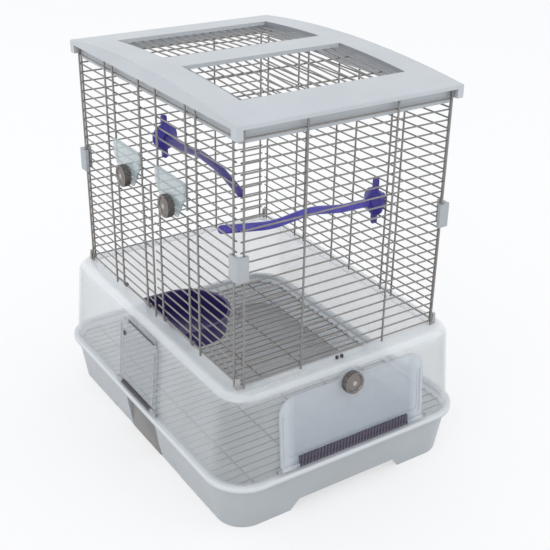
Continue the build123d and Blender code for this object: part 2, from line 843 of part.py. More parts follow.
right_door = door_wires()
write("right_door", right_door)
write("left_door", [mirror_x(w) for w in right_door])
plate = latch_plate()
front_knob = front_knob_plane * knob(front_tongue_depth)
front_tongue = front_knob_plane * tongue(front_tongue_depth, tongue_len)
for side, place in (("right", lambda s: s), ("left", mirror_x)):
    write(f"{side}_latch_plate", place(plate))
    write(f"{side}_latch_knob", place(front_knob))
    write(f"{side}_latch_tongue", place(front_tongue))

write("corner_clips", at_corners(corner_clip()))
write("corner_posts", at_corners(corner_post()))

write("roof_frame", roof_frame())
right_grille = roof_grille()
write("roof_grille_right", right_grille)
write("roof_grille_left", [mirror_x(w) for w in right_grille])

write("seed_cup", seed_cup())

write("upper_perch_mount", upper_perch_plane() * perch_mount())
write("upper_perch_nut", upper_perch_plane() * perch_nut())
write("upper_perch_rod", upper_perch())
write("lower_perch_mount", lower_perch_plane() * perch_mount())
write("lower_perch_nut", lower_perch_plane() * perch_nut())
write("lower_perch_rod", lower_perch())
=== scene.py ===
import json
import math

import bmesh
import bpy
from mathutils import Matrix, Vector


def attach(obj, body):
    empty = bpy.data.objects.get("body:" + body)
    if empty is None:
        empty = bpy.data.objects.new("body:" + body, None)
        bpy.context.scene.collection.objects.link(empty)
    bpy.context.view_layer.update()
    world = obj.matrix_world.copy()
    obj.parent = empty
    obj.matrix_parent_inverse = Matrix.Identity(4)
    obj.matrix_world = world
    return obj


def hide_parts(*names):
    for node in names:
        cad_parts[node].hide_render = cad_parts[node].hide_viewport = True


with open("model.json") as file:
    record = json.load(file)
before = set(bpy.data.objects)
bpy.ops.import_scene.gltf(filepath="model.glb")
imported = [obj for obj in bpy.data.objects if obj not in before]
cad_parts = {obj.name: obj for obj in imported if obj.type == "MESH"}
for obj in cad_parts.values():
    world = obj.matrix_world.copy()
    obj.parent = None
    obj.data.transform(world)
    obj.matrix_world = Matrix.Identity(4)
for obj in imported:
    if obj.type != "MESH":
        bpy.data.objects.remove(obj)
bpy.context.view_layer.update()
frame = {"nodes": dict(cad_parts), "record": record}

MM = 0.001
TOUCH = 1e-6               # metres, under which two places are the same

# Sizes in millimetres, as the frame has them. Wire panels:
CAGE_HALF_X = 203.0
CAGE_HALF_Y = 147.0
UPRIGHT_R = 1.3
ROW_R = 1.0
BAR_END_BEVEL = 0.3
ROW_PITCH = 12.7
ROW_COUNT = 25
FIRST_ROW_Z = 191.0
PLATE_Z = 186.0            # top of the guard, where the uprights stand
SEAT_Z = 497.0             # underside of the roof, where they end
ROW_IN = UPRIGHT_R + ROW_R
FRONT_ROW_Y = CAGE_HALF_Y - ROW_IN
END_ROW_X = CAGE_HALF_X - ROW_IN
FRONT_END_X = 193.6
SIDE_END_Y = 140.0
SIDE_UPRIGHT_Y = 61.0
OVERHANG = 2.6             # of a row past its last upright
JAMB_X = 115.0
DOOR_OUT_X = 92.0
DOOR_IN_X = 21.5
DOOR_TOP_ROW = 13
DOOR_EDGES = (3.0, 112.0)
SILL_Y = CAGE_HALF_Y - 2 * UPRIGHT_R
CURL_TURNS = 3
CURL_R = 2.2
CURL_WIRE_R = 0.78
CURL_STEP = 1.5

# Latches and knobs
DOOR_MID_X = (DOOR_OUT_X + DOOR_IN_X) / 2
RIGHT_SPINDLE = (DOOR_MID_X, -151.6, 362.4)
LEFT_SPINDLE = (-DOOR_MID_X, -151.6, 362.4)
SPINDLE_R = 3.0
FRONT_SPINDLE_REACH = 8.4
END_SPINDLE_REACH = 7.5
KNOB_R = 14.0
KNOB_LOW, KNOB_TOP = 0.3, 8.8
KNOB_FLUTES = 60
KNOB_RINGS = ((2.6, 0.0), (0.9, -1.3), (2.2, 0.5), (2.4, 0.35), (2.2, 0.15))   # inset and rise
FLUTE_INSET = 0.18
FLUTE_DEPTH = 0.5
KNOB_BEVEL = 0.9
BUTTON_R = 3.0
BUTTON_LOW, BUTTON_TOP = 7.5, 8.9
BUTTON_BEVEL = 0.6

# The arched roof and its windows
VAULT_HALF_X = 208.0
VAULT_END_Z = 500.0
VAULT_RISE = 12.7
WINDOW_X = (22.0, 150.0)
WINDOW_HALF_Y = 112.0
RIM_T = 2.0
RIM_H = 5.0
ROOF_BAR_SHARES = (0.25, 0.75)
SKIRT_HALF = (197.7, 141.7)
SKIRT_H = 20.0
SKIRT_T = 1.8

# The tray, its foot across the front, and the wire floor in it
TRAY_FLOOR_Z = 19.0
TRAY_RIM_Z = (63.5, 66.5)
INNER_WALL_MIN = 50.0        # least distance from the middle to an inner wall
FOOT_OUT = 21.5
FOOT_LEAN = 9.5 / 62
APRON_T = 2.6
APRON_H = 14.6
APRON_LOW = 0.3
APRON_IN_X = 42.6
APRON_OUT_X = (96.4, 85.4)   # at its foot, and at its top
APRON_SUNK = 1.6
RECESS_AT = (0.0, -168.4, 26.3)
FLOOR_BAR_Z = 57.0
FLOOR_BAR_COUNT = 5
FLOOR_HALF_X = 229.5
FLOOR_CORE = (189.0, 133.0)

# Ribs on the hatches' sleeves and rings round the perches
SLEEVE_RIB_PITCH = 4.8
PERCH_RING_PITCH = 3.2

# The guard's shoulder, and the hatches in its walls
SHOULDER_Z = (168.0, 184.0)
SHOULDER_EDGE_Z = 181.5
CATCHES_AT = {"near": (207.2, -4.0, PLATE_Z + 2.0), "far": (207.2, -11.0, PLATE_Z + 2.0)}
HATCH_LEAN = math.radians(4.66)
HATCH_OUT = 26.598
HATCH_MID_Z = 124.0
HATCH_TOP = 47.156
HATCH_FACE = 3.4
HATCH_SIDES_Y = (86.0, 98.0)
HATCH_HEIGHTS = (80.0, 170.0)
END_SPINDLE = (-6.0, 41.136, HATCH_FACE)          # on the wide hatch
SLOT_SHADE_AT = (6.0, HATCH_TOP + 1.5, 1.3)             # on the narrow hatch
NIB_AT = (-40.0, 26.0, HATCH_FACE)

# Light and camera, in metres, degrees and pixels
SEEN_RAYS = ("Is Camera Ray", "Is Glossy Ray", "Is Transmission Ray")
FLOOR_WHITE = 0.62
SKY_COLOUR = (0.93, 0.96, 1.0, 1.0)
SKY_STRENGTH = 0.98
LAMP_WIDTH = 2.4
CAMERA_TURN = (56.272, 26.753, 0.987)      # round, up and tilt
CAMERA_PLACE = (1.01632, -0.64275, 0.81328)
FOCAL_PIXELS = 995.88
PHOTO_PIXELS = 550
SENSOR = 36.0


# Modelling with operators
def deselect():
    """Leaves edit mode and clears the selection, because operators act on all that is selected."""
    if bpy.context.object and bpy.context.object.mode != "OBJECT":
        bpy.ops.object.mode_set(mode="OBJECT")
    bpy.ops.object.select_all(action="DESELECT")


def pick(*things):
    """Selects only these things, with the first one active."""
    deselect()
    for thing in things:
        thing.select_set(True)
    bpy.context.view_layer.objects.active = things[0]


def settle(thing):
    """Puts the object's place into its mesh, so that it sits at the origin."""
    pick(thing)
    bpy.ops.object.transform_apply(location=True, rotation=True, scale=True)
    return thing


def apply_all(thing):
    """Applies every modifier in its order."""
    pick(thing)
    for modifier in list(thing.modifiers):
        bpy.ops.object.modifier_apply(modifier=modifier.name)
    return thing


def joined(name, things):
    """Joins the things into one object with the given name."""
    pick(*things)
    if len(things) > 1:
        bpy.ops.object.join()
    whole = bpy.context.object
    whole.name = name
    whole.data.name = name
    return settle(whole)


def repeated(thing, step, count):
    """Array of the thing, as loose parts of one mesh."""
    array = thing.modifiers.new("repeat", "ARRAY")
    array.use_relative_offset = False
    array.use_constant_offset = True
    array.constant_offset_displace = Vector(step) * MM
    array.count = count
    return apply_all(thing)


def edit(thing, mode="EDGE"):
    """Enters edit mode with nothing selected and returns the mesh to select in."""
    pick(thing)
    bpy.ops.object.mode_set(mode="EDIT")
    bpy.ops.mesh.select_mode(type=mode)
    bpy.ops.mesh.select_all(action="DESELECT")
    return bmesh.from_edit_mesh(thing.data)


def select(mesh, parts, wanted):
    """Selects the edges, faces or vertices that the test wants."""
    for part in parts:
        part.select_set(bool(wanted(part)))
    mesh.select_flush_mode()


def round_bar(start, end, radius, sides=12):
    """A straight round bar between two points, with its end edges rounded off."""
    a, b = Vector(start) * MM, Vector(end) * MM
    run = b - a
    deselect()
    bpy.ops.mesh.primitive_cylinder_add(
        vertices=sides,
        radius=radius * MM,
        depth=run.length,
        location=(a + b) / 2,
        rotation=run.to_track_quat("Z", "Y").to_euler(),
    )
    bar = settle(bpy.context.object)
    along = run.normalized()
    mesh = edit(bar)
    select(mesh, mesh.edges, lambda e: abs((e.verts[0].co - e.verts[1].co).dot(along)) < TOUCH)
    bpy.ops.mesh.bevel(offset=BAR_END_BEVEL * MM, segments=1)
    bpy.ops.object.mode_set(mode="OBJECT")
    return bar


def row_z(index):
    """Height of a row of wire, counted from the lowest."""
    return FIRST_ROW_Z + index * ROW_PITCH


def both(values):
    """Each value and its mirror image."""
    return [sign * value for value in values for sign in (-1, 1)]


# Materials
class Number:
    """A number in a material, which can be used in plain arithmetic."""

    def __init__(self, finish, socket):
        self.finish = finish
        self.socket = socket

    def _with(self, operation, first, second, clamp=False):
        node = self.finish.node(
            "ShaderNodeMath", {"operation": operation, "use_clamp": clamp}, {0: first, 1: second}
        )
        return Number(self.finish, node.outputs[0])

    def __add__(self, other):
        return self._with("ADD", self, other)

    __radd__ = __add__

    def __mul__(self, other):
        return self._with("MULTIPLY", self, other)

    __rmul__ = __mul__

    def __sub__(self, other):
        return self._with("SUBTRACT", self, other)

    def __rsub__(self, other):
        return self._with("SUBTRACT", other, self)

    def __truediv__(self, other):
        return self._with("DIVIDE", self, other)

    def __pow__(self, other):
        return self._with("POWER", self, other)

    def __abs__(self):
        return self._with("ABSOLUTE", self, 0.0)

    def wave(self):
        return self._with("SINE", self, 0.0)

    def clamped(self):
        return self._with("ADD", self, 0.0, clamp=True)

    def __lt__(self, other):
        return self._with("LESS_THAN", self, other)

    def __gt__(self, other):
        return self._with("GREATER_THAN", self, other)

    def at(self, place, width):
        """1 where the number is within a width of the place, and 0 elsewhere."""
        return (2.0 - abs(self - place) / width).clamped()

    def between(self, low, high):
        """0 below low, 1 above high, and straight between them."""
        return ((self - low) / (high - low)).clamped()


class Finish:
    """One material: a shader, and the nodes that vary it over the surface."""

    def __init__(self, name, **fixed):
        self.material = bpy.data.materials.new(name)
        self.material.use_nodes = True
        self.tree = self.material.node_tree
        self.tree.nodes.clear()
        self.output = self.node("ShaderNodeOutputMaterial")
        self.shader = self.node("ShaderNodeBsdfPrincipled", {}, fixed_sockets(fixed))
        self.feed(self.output, "Surface", self.shader.outputs[0])
        where = self.node("ShaderNodeTexCoord")
        self.place, self.normal = where.outputs["Object"], where.outputs["Normal"]

    def node(self, kind, settings=None, sockets=None):
        """Adds a node, makes its settings first, then fills or links its sockets."""
        node = self.tree.nodes.new(kind)
        for key, value in (settings or {}).items():
            setattr(node, key, value)
        for key, value in (sockets or {}).items():
            self.feed(node, key, value)
        return node

    def feed(self, node, key, value):
        socket = node.inputs[key] if isinstance(key, int) else self.find(node, key)
        if isinstance(value, Number):
            value = value.socket
        if isinstance(value, bpy.types.NodeSocket):
            self.tree.links.new(value, socket)
        elif socket.type == "RGBA" and len(value) == 3:
            socket.default_value = (*value, 1.0)
        else:
            socket.default_value = value

    @staticmethod
    def find(node, key):
        for socket in node.inputs:
            if socket.identifier == key:
                return socket
        return next(s for s in node.inputs if s.name == key and s.enabled)

    def noise(self, scale, detail=3.0, roughness=0.5, stretch=(1, 1, 1)):
        """Noise over the object, with scale in lumps per metre."""
        place = self.place
        if stretch != (1, 1, 1):
            place = self.node("ShaderNodeMapping", {}, {"Vector": place, "Scale": stretch}).outputs[0]
        sockets = {"Vector": place, "Scale": scale, "Detail": detail, "Roughness": roughness}
        return Number(self, self.node("ShaderNodeTexNoise", {}, sockets).outputs[0])

    def axis(self, which):
        """One coordinate of the object, in millimetres."""
        parts = self.node("ShaderNodeSeparateXYZ", {}, {0: self.place})
        return Number(self, parts.outputs[which]) / MM

    def facing(self, which):
        """How much the surface faces along one axis, from -1 to 1."""
        parts = self.node("ShaderNodeSeparateXYZ", {}, {0: self.normal})
        return Number(self, parts.outputs[which])

    def facing_in(self):
        """1 on inner walls, which face the object's upright middle line, and 0 elsewhere."""
        return self.facing(0) * self.axis(0) + self.facing(1) * self.axis(1) < -INNER_WALL_MIN

    def blend(self, factor, first, second):
        """Colour between two colours."""
        node = self.node(
            "ShaderNodeMix",
            {"data_type": "RGBA"},
            {"Factor_Float": factor, "A_Color": first, "B_Color": second},
        )
        return next(s for s in node.outputs if s.identifier == "Result_Color")

    def colour(self, value):
        self.feed(self.shader, "Base Color", value)

    def rough(self, value):
        self.feed(self.shader, "Roughness", value)

    def bump(self, height, distance):
        """Raises the surface by the height, with the distance in millimetres for a height of 1."""
        sockets = {"Height": height, "Distance": distance * MM, "Strength": 1.0}
        self.feed(self.shader, "Normal", self.node("ShaderNodeBump", {}, sockets).outputs[0])

    def cloudy(self, colour, shade, scale=14):
        """Slow drift between two near colours."""
        return self.blend(self.noise(scale, 2).between(0.3, 0.7), colour, shade)

    def satin(self, roughness):
        """The fine grain and slow waviness of moulded plastic."""
        fine = self.noise(1400, 2)
        self.rough(roughness + 0.12 * (self.noise(90, 3) - 0.5) + 0.06 * (fine - 0.5))
        self.bump(fine + 6.0 * self.noise(22, 1), 0.04)


def fixed_sockets(fixed):
    """Socket names from keywords, such as Coat Weight from coat_weight."""
    return {key.replace("_", " ").title().replace("Ior", "IOR"): value for key, value in fixed.items()}


def moulded(name, colour, shade, roughness, **fixed):
    """Satin moulded plastic."""
    finish = Finish(name, **fixed)
    finish.colour(finish.cloudy(colour, shade))
    finish.satin(roughness)
    return finish.material


def tray_moulding(name, colour, shade, rim, painted_inner_light, painted_floor_light):
    """The tray's plastic, with a painted highlight on its rim, painted light on its inner walls, and
    painted light making its floor paler than the shell.
    """
    finish = Finish(name)
    z = finish.axis(2)
    inner_walls = finish.facing_in() * (z > TRAY_FLOOR_Z + 1.0) * (z < TRAY_RIM_Z[0] + 0.5)
    floor = z.at(TRAY_FLOOR_Z, 0.4) * (finish.facing(2) > 0.9)
    # The rim colour is a painted highlight; the inner walls and the floor get painted light.
    outside = finish.blend(z.between(*TRAY_RIM_Z), finish.cloudy(colour, shade), rim)
    walls = finish.blend(inner_walls, outside, painted_inner_light)
    finish.colour(finish.blend(floor, walls, painted_floor_light))
    finish.satin(0.36)
    return finish.material


def roof_moulding(name, colour, shade, wall):
    """The roof's plastic, with painted shade on the front and back walls of its windows."""
    finish = Finish(name)
    x, y = abs(finish.axis(0)), abs(finish.axis(1))
    beside = (x < WINDOW_X[1] + 0.4) * (x > WINDOW_X[0] - 0.4)
    # Painted shade: the windows' front and back walls take the darker wall colour.
    walls = (y.at(WINDOW_HALF_Y, 0.2) * beside).clamped()
    finish.colour(finish.blend(walls, finish.cloudy(colour, shade), wall))
    finish.satin(0.38)
    return finish.material


def ribbed(name, colour, groove_shade):
    """Sleeve plastic with ribs across it, and painted shade darkening the grooves between them."""
    finish = Finish(name)
    ribs = ((finish.axis(0) + finish.axis(1)) * (2 * math.pi / SLEEVE_RIB_PITCH)).wave()
    # Painted shade: the colour darkens where the ribs' bump is low.
    finish.colour(finish.blend(ribs.between(-0.2, 0.6), groove_shade, colour))
    finish.rough(0.42 + 0.15 * (finish.noise(200, 2) - 0.5))
    finish.bump(ribs, 0.3)
    return finish.material


def gripped(name, colour, shade, way):
    """Perch plastic with fine rings round it, along X for 0 and along Y for 1, and painted shade in the
    rings' grooves.
    """
    finish = Finish(name, coat_weight=0.35, coat_roughness=0.2)
    rings = (finish.axis(way) * (2 * math.pi / PERCH_RING_PITCH)).wave()
    # The tone drifts at random, and follows the rings a little as painted shade in their grooves.
    tone = finish.noise(60, 3) + 0.18 * rings
    finish.colour(finish.blend(tone.between(0.25, 0.8), shade, colour))
    finish.rough(0.32 + 0.2 * (finish.noise(300, 2) - 0.5))
    finish.bump(0.5 * rings + 0.4 * finish.noise(900, 2), 0.25)
    return finish.material


def see_through(name, colour, shade, milk, edge, roughness, change=None):
    """Clear or milky moulding, more solid where it is seen on edge.

    A change takes the finish and its colour. It gives back how much more solid to be, and a colour.
    """
    finish = Finish(name, coat_weight=1.0, coat_roughness=0.06)
    more, tone = 0.0, finish.cloudy(colour, shade, 18)
    if change:
        more, tone = change(finish, tone)
    finish.colour(tone)
    finish.rough(roughness + 0.05 * (finish.noise(120, 2) - 0.5))
    layer = finish.node("ShaderNodeLayerWeight", {}, {"Blend": 0.5})
    facing = Number(finish, layer.outputs["Facing"])
    solid = milk + edge * facing**2.5 + 0.05 * (finish.noise(60, 3) - 0.5) + more
    shadow = Number(finish, finish.node("ShaderNodeLightPath").outputs["Is Shadow Ray"])
    finish.feed(finish.shader, "Alpha", (solid * (1.0 - 0.85 * shadow)).clamped())
    finish.bump(finish.noise(30, 1), 0.22)
    return finish.material


def guard_shoulder_highlight(finish, tone):
    """Painted highlight on the guard: more solid and paler at its top plate, and most of all round its
    edge.
    """
    height = finish.axis(2)
    shoulder = height.between(*SHOULDER_Z)
    edge = height.at(SHOULDER_EDGE_Z, 2.2)
    return 0.09 * shoulder + 0.22 * edge, finish.blend(shoulder, tone, (0.84, 0.87, 0.89))


def end_hatch_sides_and_top(finish, tone):
    """The wide hatch is paler and a little more solid up its sides, and painted light makes it paler
    towards its top.
    """
    sides = abs(finish.axis(1)).between(*HATCH_SIDES_Y)
    # Painted light: the colour grows paler towards the top.
    upper = finish.blend(finish.axis(2).between(*HATCH_HEIGHTS), tone, (0.58, 0.62, 0.66))
    return 0.16 * sides, finish.blend(sides, upper, (0.62, 0.65, 0.69))


def coated_wire(name, colour, shade):
    """Satin coated wire with slight unevenness in the coat."""
    finish = Finish(name, specular_ior_level=0.6)
    patch = finish.noise(220, 3)
    finish.colour(finish.blend(patch.between(0.35, 0.7), colour, shade))
    finish.feed(finish.shader, "Metallic", 0.35 + 0.25 * patch)
    finish.rough(0.34 + 0.2 * (finish.noise(500, 2) - 0.5))
    finish.bump(finish.noise(900, 2), 0.03)
    return finish.material


def turned_metal(name, colour, shade):
    """Brushed metal with fine scratches and darker patches."""
    finish = Finish(name, metallic=1.0)
    scratch = finish.noise(160, 3, 0.6, (1, 1, 14))
    finish.colour(finish.blend(scratch.between(0.3, 0.7), colour, shade))
    finish.rough(0.3 + 0.25 * (scratch - 0.5))
    finish.bump(scratch, 0.03)
    return finish.material


finishes = {
    # The tray's rim colour is a painted highlight, and its inner wall and floor colours are painted
    # light.
    "tray_plastic": tray_moulding(
        "tray plastic",
        (0.44, 0.46, 0.475),
        (0.405, 0.425, 0.44),
        rim=(0.64, 0.66, 0.68),
        painted_inner_light=(0.90, 0.92, 0.94),
        painted_floor_light=(0.48, 0.495, 0.505),
    ),
    # The roof's wall colour is painted shade on its windows' front and back walls.
    "roof_plastic": roof_moulding(
        "roof plastic", (0.525, 0.55, 0.57), (0.485, 0.51, 0.53), wall=(0.27, 0.28, 0.30)
    ),
    # The guard's shoulder change is a painted highlight.
    "guard_plastic": see_through(
        "guard plastic",
        (0.66, 0.69, 0.71),
        (0.60, 0.63, 0.65),
        milk=0.17,
        edge=0.60,
        roughness=0.10,
        change=guard_shoulder_highlight,
    ),
    # The wide hatch's paler top is painted light.
    "door_plastic": see_through(
        "hatch plastic",
        (0.44, 0.49, 0.55),
        (0.40, 0.45, 0.51),
        milk=0.46,
        edge=0.35,
        roughness=0.20,
        change=end_hatch_sides_and_top,
    ),
    "wire_paint": coated_wire("wire coat", (0.235, 0.222, 0.212), (0.30, 0.284, 0.27)),
    "steel": turned_metal("drawn steel", (0.50, 0.49, 0.48), (0.40, 0.39, 0.38)),
    "sleeve_plastic": ribbed("sleeve plastic", (0.085, 0.07, 0.11), groove_shade=(0.022, 0.018, 0.035)),
    "knob_metal": turned_metal("knob metal", (0.275, 0.25, 0.24), (0.17, 0.152, 0.143)),
    "latch_plastic": see_through(
        "latch plastic",
        (0.43, 0.505, 0.515),
        (0.40, 0.475, 0.49),
        milk=0.52,
        edge=0.30,
        roughness=0.18,
    ),
    "clip_plastic": moulded(
        "clip plastic", (0.41, 0.43, 0.445), (0.37, 0.39, 0.405), roughness=0.4
    ),
    "cup_plastic": moulded(
        "cup plastic", (0.035, 0.022, 0.125), (0.024, 0.015, 0.09), roughness=0.34, coat_weight=0.15
    ),
    "perch_plastic": moulded(
        "perch plastic", (0.045, 0.031, 0.32), (0.03, 0.021, 0.23), roughness=0.34, coat_weight=0.15
    ),
}
# Nodes and pieces whose finish differs from the rest of their slot
own_finish = {
    # The two grips are one plastic: a darker copy for the upper grip and a lighter one for the lower,
    # as painted shade and painted light.
    "upper_perch_rod": gripped("upper grip", (0.06, 0.046, 0.29), (0.03, 0.022, 0.18), way=0),
    "lower_perch_rod": gripped("lower grip", (0.085, 0.07, 0.50), (0.045, 0.032, 0.32), way=1),
    "front_access_door": see_through(
        "narrow hatch plastic",
        (0.46, 0.49, 0.52),
        (0.42, 0.45, 0.48),
        milk=0.28,
        edge=0.45,
        roughness=0.16,
    ),
    # A dark brownish sheet in the front recess: painted shade and painted reflection.
    "recess_shade_sheet": moulded(
        "recess painted shade", (0.27, 0.255, 0.25), (0.22, 0.21, 0.205), roughness=0.5
    ),
}

slot_of = {part["node"]: part["material_slot"] for part in frame["record"]["subparts"]}
body_of = {
    node: body for body, nodes in frame["record"]["behaviour"]["bodies"].items() for node in nodes
}


def give_finish(thing, name, slot):
    thing.data.materials.clear()
    thing.data.materials.append(own_finish.get(name) or finishes[slot])


for name, node in frame["nodes"].items():
    give_finish(node, name, slot_of[name])


def finish_piece(piece, *nodes, body=None, slot=None, angle=35):
    """Gives a piece its finish and ties it to a body, by default that of the nodes it replaces."""
    pick(piece)
    bpy.ops.object.shade_smooth_by_angle(angle=math.radians(angle))
    slot = slot or slot_of[nodes[0]]
    give_finish(piece, piece.name, slot)
    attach(piece, body or body_of[nodes[0]])
    if nodes:
        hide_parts(*nodes)


# Wires
def front_rows(x_from, x_to, y, first, count):
    """Level wires across the front or back, one on each row."""
    sample = round_bar((x_from, y, row_z(first)), (x_to, y, row_z(first)), ROW_R)
    return repeated(sample, (0, 0, ROW_PITCH), count)


def uprights(places, low, high):
    return [round_bar((x, y, low), (x, y, high), UPRIGHT_R) for x, y in places]


def front_strip(side):
    ends = sorted((side * (JAMB_X - OVERHANG), side * (FRONT_END_X + OVERHANG)))
    rows = front_rows(*ends, -FRONT_ROW_Y, 0, DOOR_TOP_ROW + 1)
    places = [(side * JAMB_X, -CAGE_HALF_Y), (side * FRONT_END_X, -CAGE_HALF_Y)]
    return [rows] + uprights(places, PLATE_Z, SEAT_Z)


def front_top():
    reach = FRONT_END_X + OVERHANG
    first = DOOR_TOP_ROW + 1
    rows = front_rows(-reach, reach, -FRONT_ROW_Y, first, ROW_COUNT - first)
    places = [(x, -CAGE_HALF_Y) for x in both((DOOR_OUT_X, DOOR_IN_X))]
    return [rows] + uprights(places, row_z(first) - 2 * ROW_R, SEAT_Z)


def back_wires():
    reach = FRONT_END_X + OVERHANG
    rows = front_rows(-reach, reach, FRONT_ROW_Y, 0, ROW_COUNT)
    places = [(x, CAGE_HALF_Y) for x in both((FRONT_END_X, JAMB_X, DOOR_OUT_X, DOOR_IN_X))]
    return [rows] + uprights(places, PLATE_Z, SEAT_Z)


def end_wires(side):
    reach = SIDE_END_Y + OVERHANG
    x = side * END_ROW_X
    sample = round_bar((x, -reach, row_z(0)), (x, reach, row_z(0)), ROW_R)
    rows = repeated(sample, (0, 0, ROW_PITCH), ROW_COUNT)
    places = [(side * CAGE_HALF_X, y) for y in both((SIDE_END_Y, SIDE_UPRIGHT_Y))]
    return [rows] + uprights(places, PLATE_Z, SEAT_Z)


def curl(x):
    """The foot of a door's upright, curled round the sill wire."""
    rings = []
    for k in range(CURL_TURNS):
        deselect()
        bpy.ops.mesh.primitive_torus_add(
            major_segments=20,
            minor_segments=8,
            major_radius=CURL_R * MM,
            minor_radius=CURL_WIRE_R * MM,
            location=Vector((x + (k - (CURL_TURNS - 1) / 2) * CURL_STEP, -SILL_Y, FIRST_ROW_Z)) * MM,
            rotation=(0, math.pi / 2, 0),
        )
        rings.append(bpy.context.object)
    return rings


def door_wires(side):
    ends = sorted(side * x for x in DOOR_EDGES)
    things = [front_rows(*ends, -FRONT_ROW_Y, 1, DOOR_TOP_ROW)]
    places = [(side * x, -CAGE_HALF_Y) for x in (DOOR_IN_X, DOOR_OUT_X)]
    things += uprights(places, FIRST_ROW_Z + UPRIGHT_R, row_z(DOOR_TOP_ROW) + 2 * ROW_R)
    for x in (DOOR_IN_X, DOOR_OUT_X):
        things += curl(side * x)
    return things


def vault_z(x):
    """Height of the roof's arched top."""
    radius = (VAULT_HALF_X**2 + VAULT_RISE**2) / (2 * VAULT_RISE)
    return VAULT_END_Z + VAULT_RISE - radius + math.sqrt(radius**2 - x**2)


def roof_wires(side):
    """Wires held under a window's rims, on two bars."""
    ends = (WINDOW_X[0] - RIM_T, WINDOW_X[1] + RIM_T)
    levels = [vault_z(x) - RIM_H - ROW_R for x in ends]
    slope = (levels[1] - levels[0]) / (ends[1] - ends[0])
    count = int(2 * WINDOW_HALF_Y / ROW_PITCH)
    last_y = (count - 1) / 2 * ROW_PITCH
    places = [(side * x, -last_y, z) for x, z in zip(ends, levels)]
    things = [repeated(round_bar(*places, ROW_R), (0, ROW_PITCH, 0), count)]
    for share in ROOF_BAR_SHARES:
        x = ends[0] + share * (ends[1] - ends[0])
        z = levels[0] + slope * (x - ends[0]) - 2 * ROW_R
        reach = last_y + OVERHANG
        things.append(round_bar((side * x, -reach, z), (side * x, reach, z), ROW_R))
    return things


def floor_wires():
    """The lift-out floor: wires from front to back on bars, cut to the tray's rounded corners."""
    core_x, core_y = FLOOR_CORE
    corner_r = FLOOR_HALF_X - core_x
    count = int(2 * FLOOR_HALF_X / ROW_PITCH)
    things = []
    for k in range(count):
        x = (k - (count - 1) / 2) * ROW_PITCH
        reach = core_y + math.sqrt(corner_r**2 - max(0.0, abs(x) - core_x) ** 2)
        z = FLOOR_BAR_Z + 2 * ROW_R
        things.append(round_bar((x, -reach, z), (x, reach, z), ROW_R))
    ends = [(x, -core_y, FLOOR_BAR_Z) for x in (-FLOOR_HALF_X, FLOOR_HALF_X)]
    step = (0, 2 * core_y / (FLOOR_BAR_COUNT - 1), 0)
    things.append(repeated(round_bar(*ends, ROW_R), step, FLOOR_BAR_COUNT))
    return things


for name, things, node in (
    ("left_front_wires", front_strip(-1), "front_wires_left"),
    ("right_front_wires", front_strip(1), "front_wires_right"),
    ("upper_front_wires", front_top(), "front_wires_top"),
    ("back_wires", back_wires(), "back_wire_panel"),
    ("left_end_wires", end_wires(-1), "left_wire_panel"),
    ("right_end_wires", end_wires(1), "right_wire_panel"),
    ("right_door_wires", door_wires(1), "right_door"),
    ("left_door_wires", door_wires(-1), "left_door"),
    (
        "centre_wire",
        uprights([(0, -CAGE_HALF_Y)], PLATE_Z, row_z(DOOR_TOP_ROW + 1)),
        "front_centre_upright",
    ),
    ("floor_wires", floor_wires(), "floor_grille"),
    ("right_roof_wires", roof_wires(1), "roof_grille_right"),
    ("left_roof_wires", roof_wires(-1), "roof_grille_left"),
):
    finish_piece(joined(name, things), node)


# Knobs and small parts
def plane_at(origin, across, outwards):
    """Turns things drawn flat, in metres, to a plane with its X across and its Z outwards."""
    across, outwards = Vector(across), Vector(outwards)
    turned = Matrix((across, outwards.cross(across), outwards)).transposed().to_4x4()
    turned.translation = Vector(origin) * MM
    return turned


def front_plane(x, y, z):
    """A plane that faces straight to the front."""
    return plane_at((x, y, z), (1, 0, 0), (0, -1, 0))


END_HATCH_PLANE = plane_at(
    (CAGE_HALF_X + HATCH_OUT, 0, HATCH_MID_Z),
    (0, 1, 0),
    (math.cos(HATCH_LEAN), 0, math.sin(HATCH_LEAN)),
)
FRONT_HATCH_PLANE = plane_at(
    (0, -CAGE_HALF_Y - HATCH_OUT, HATCH_MID_Z),
    (1, 0, 0),
    (0, -math.cos(HATCH_LEAN), math.sin(HATCH_LEAN)),
)


def shifted(plane, x, y, z):
    return plane @ Matrix.Translation(Vector((x, y, z)) * MM)


def placed(thing, plane):
    settle(thing)
    thing.matrix_world = plane
    return settle(thing)


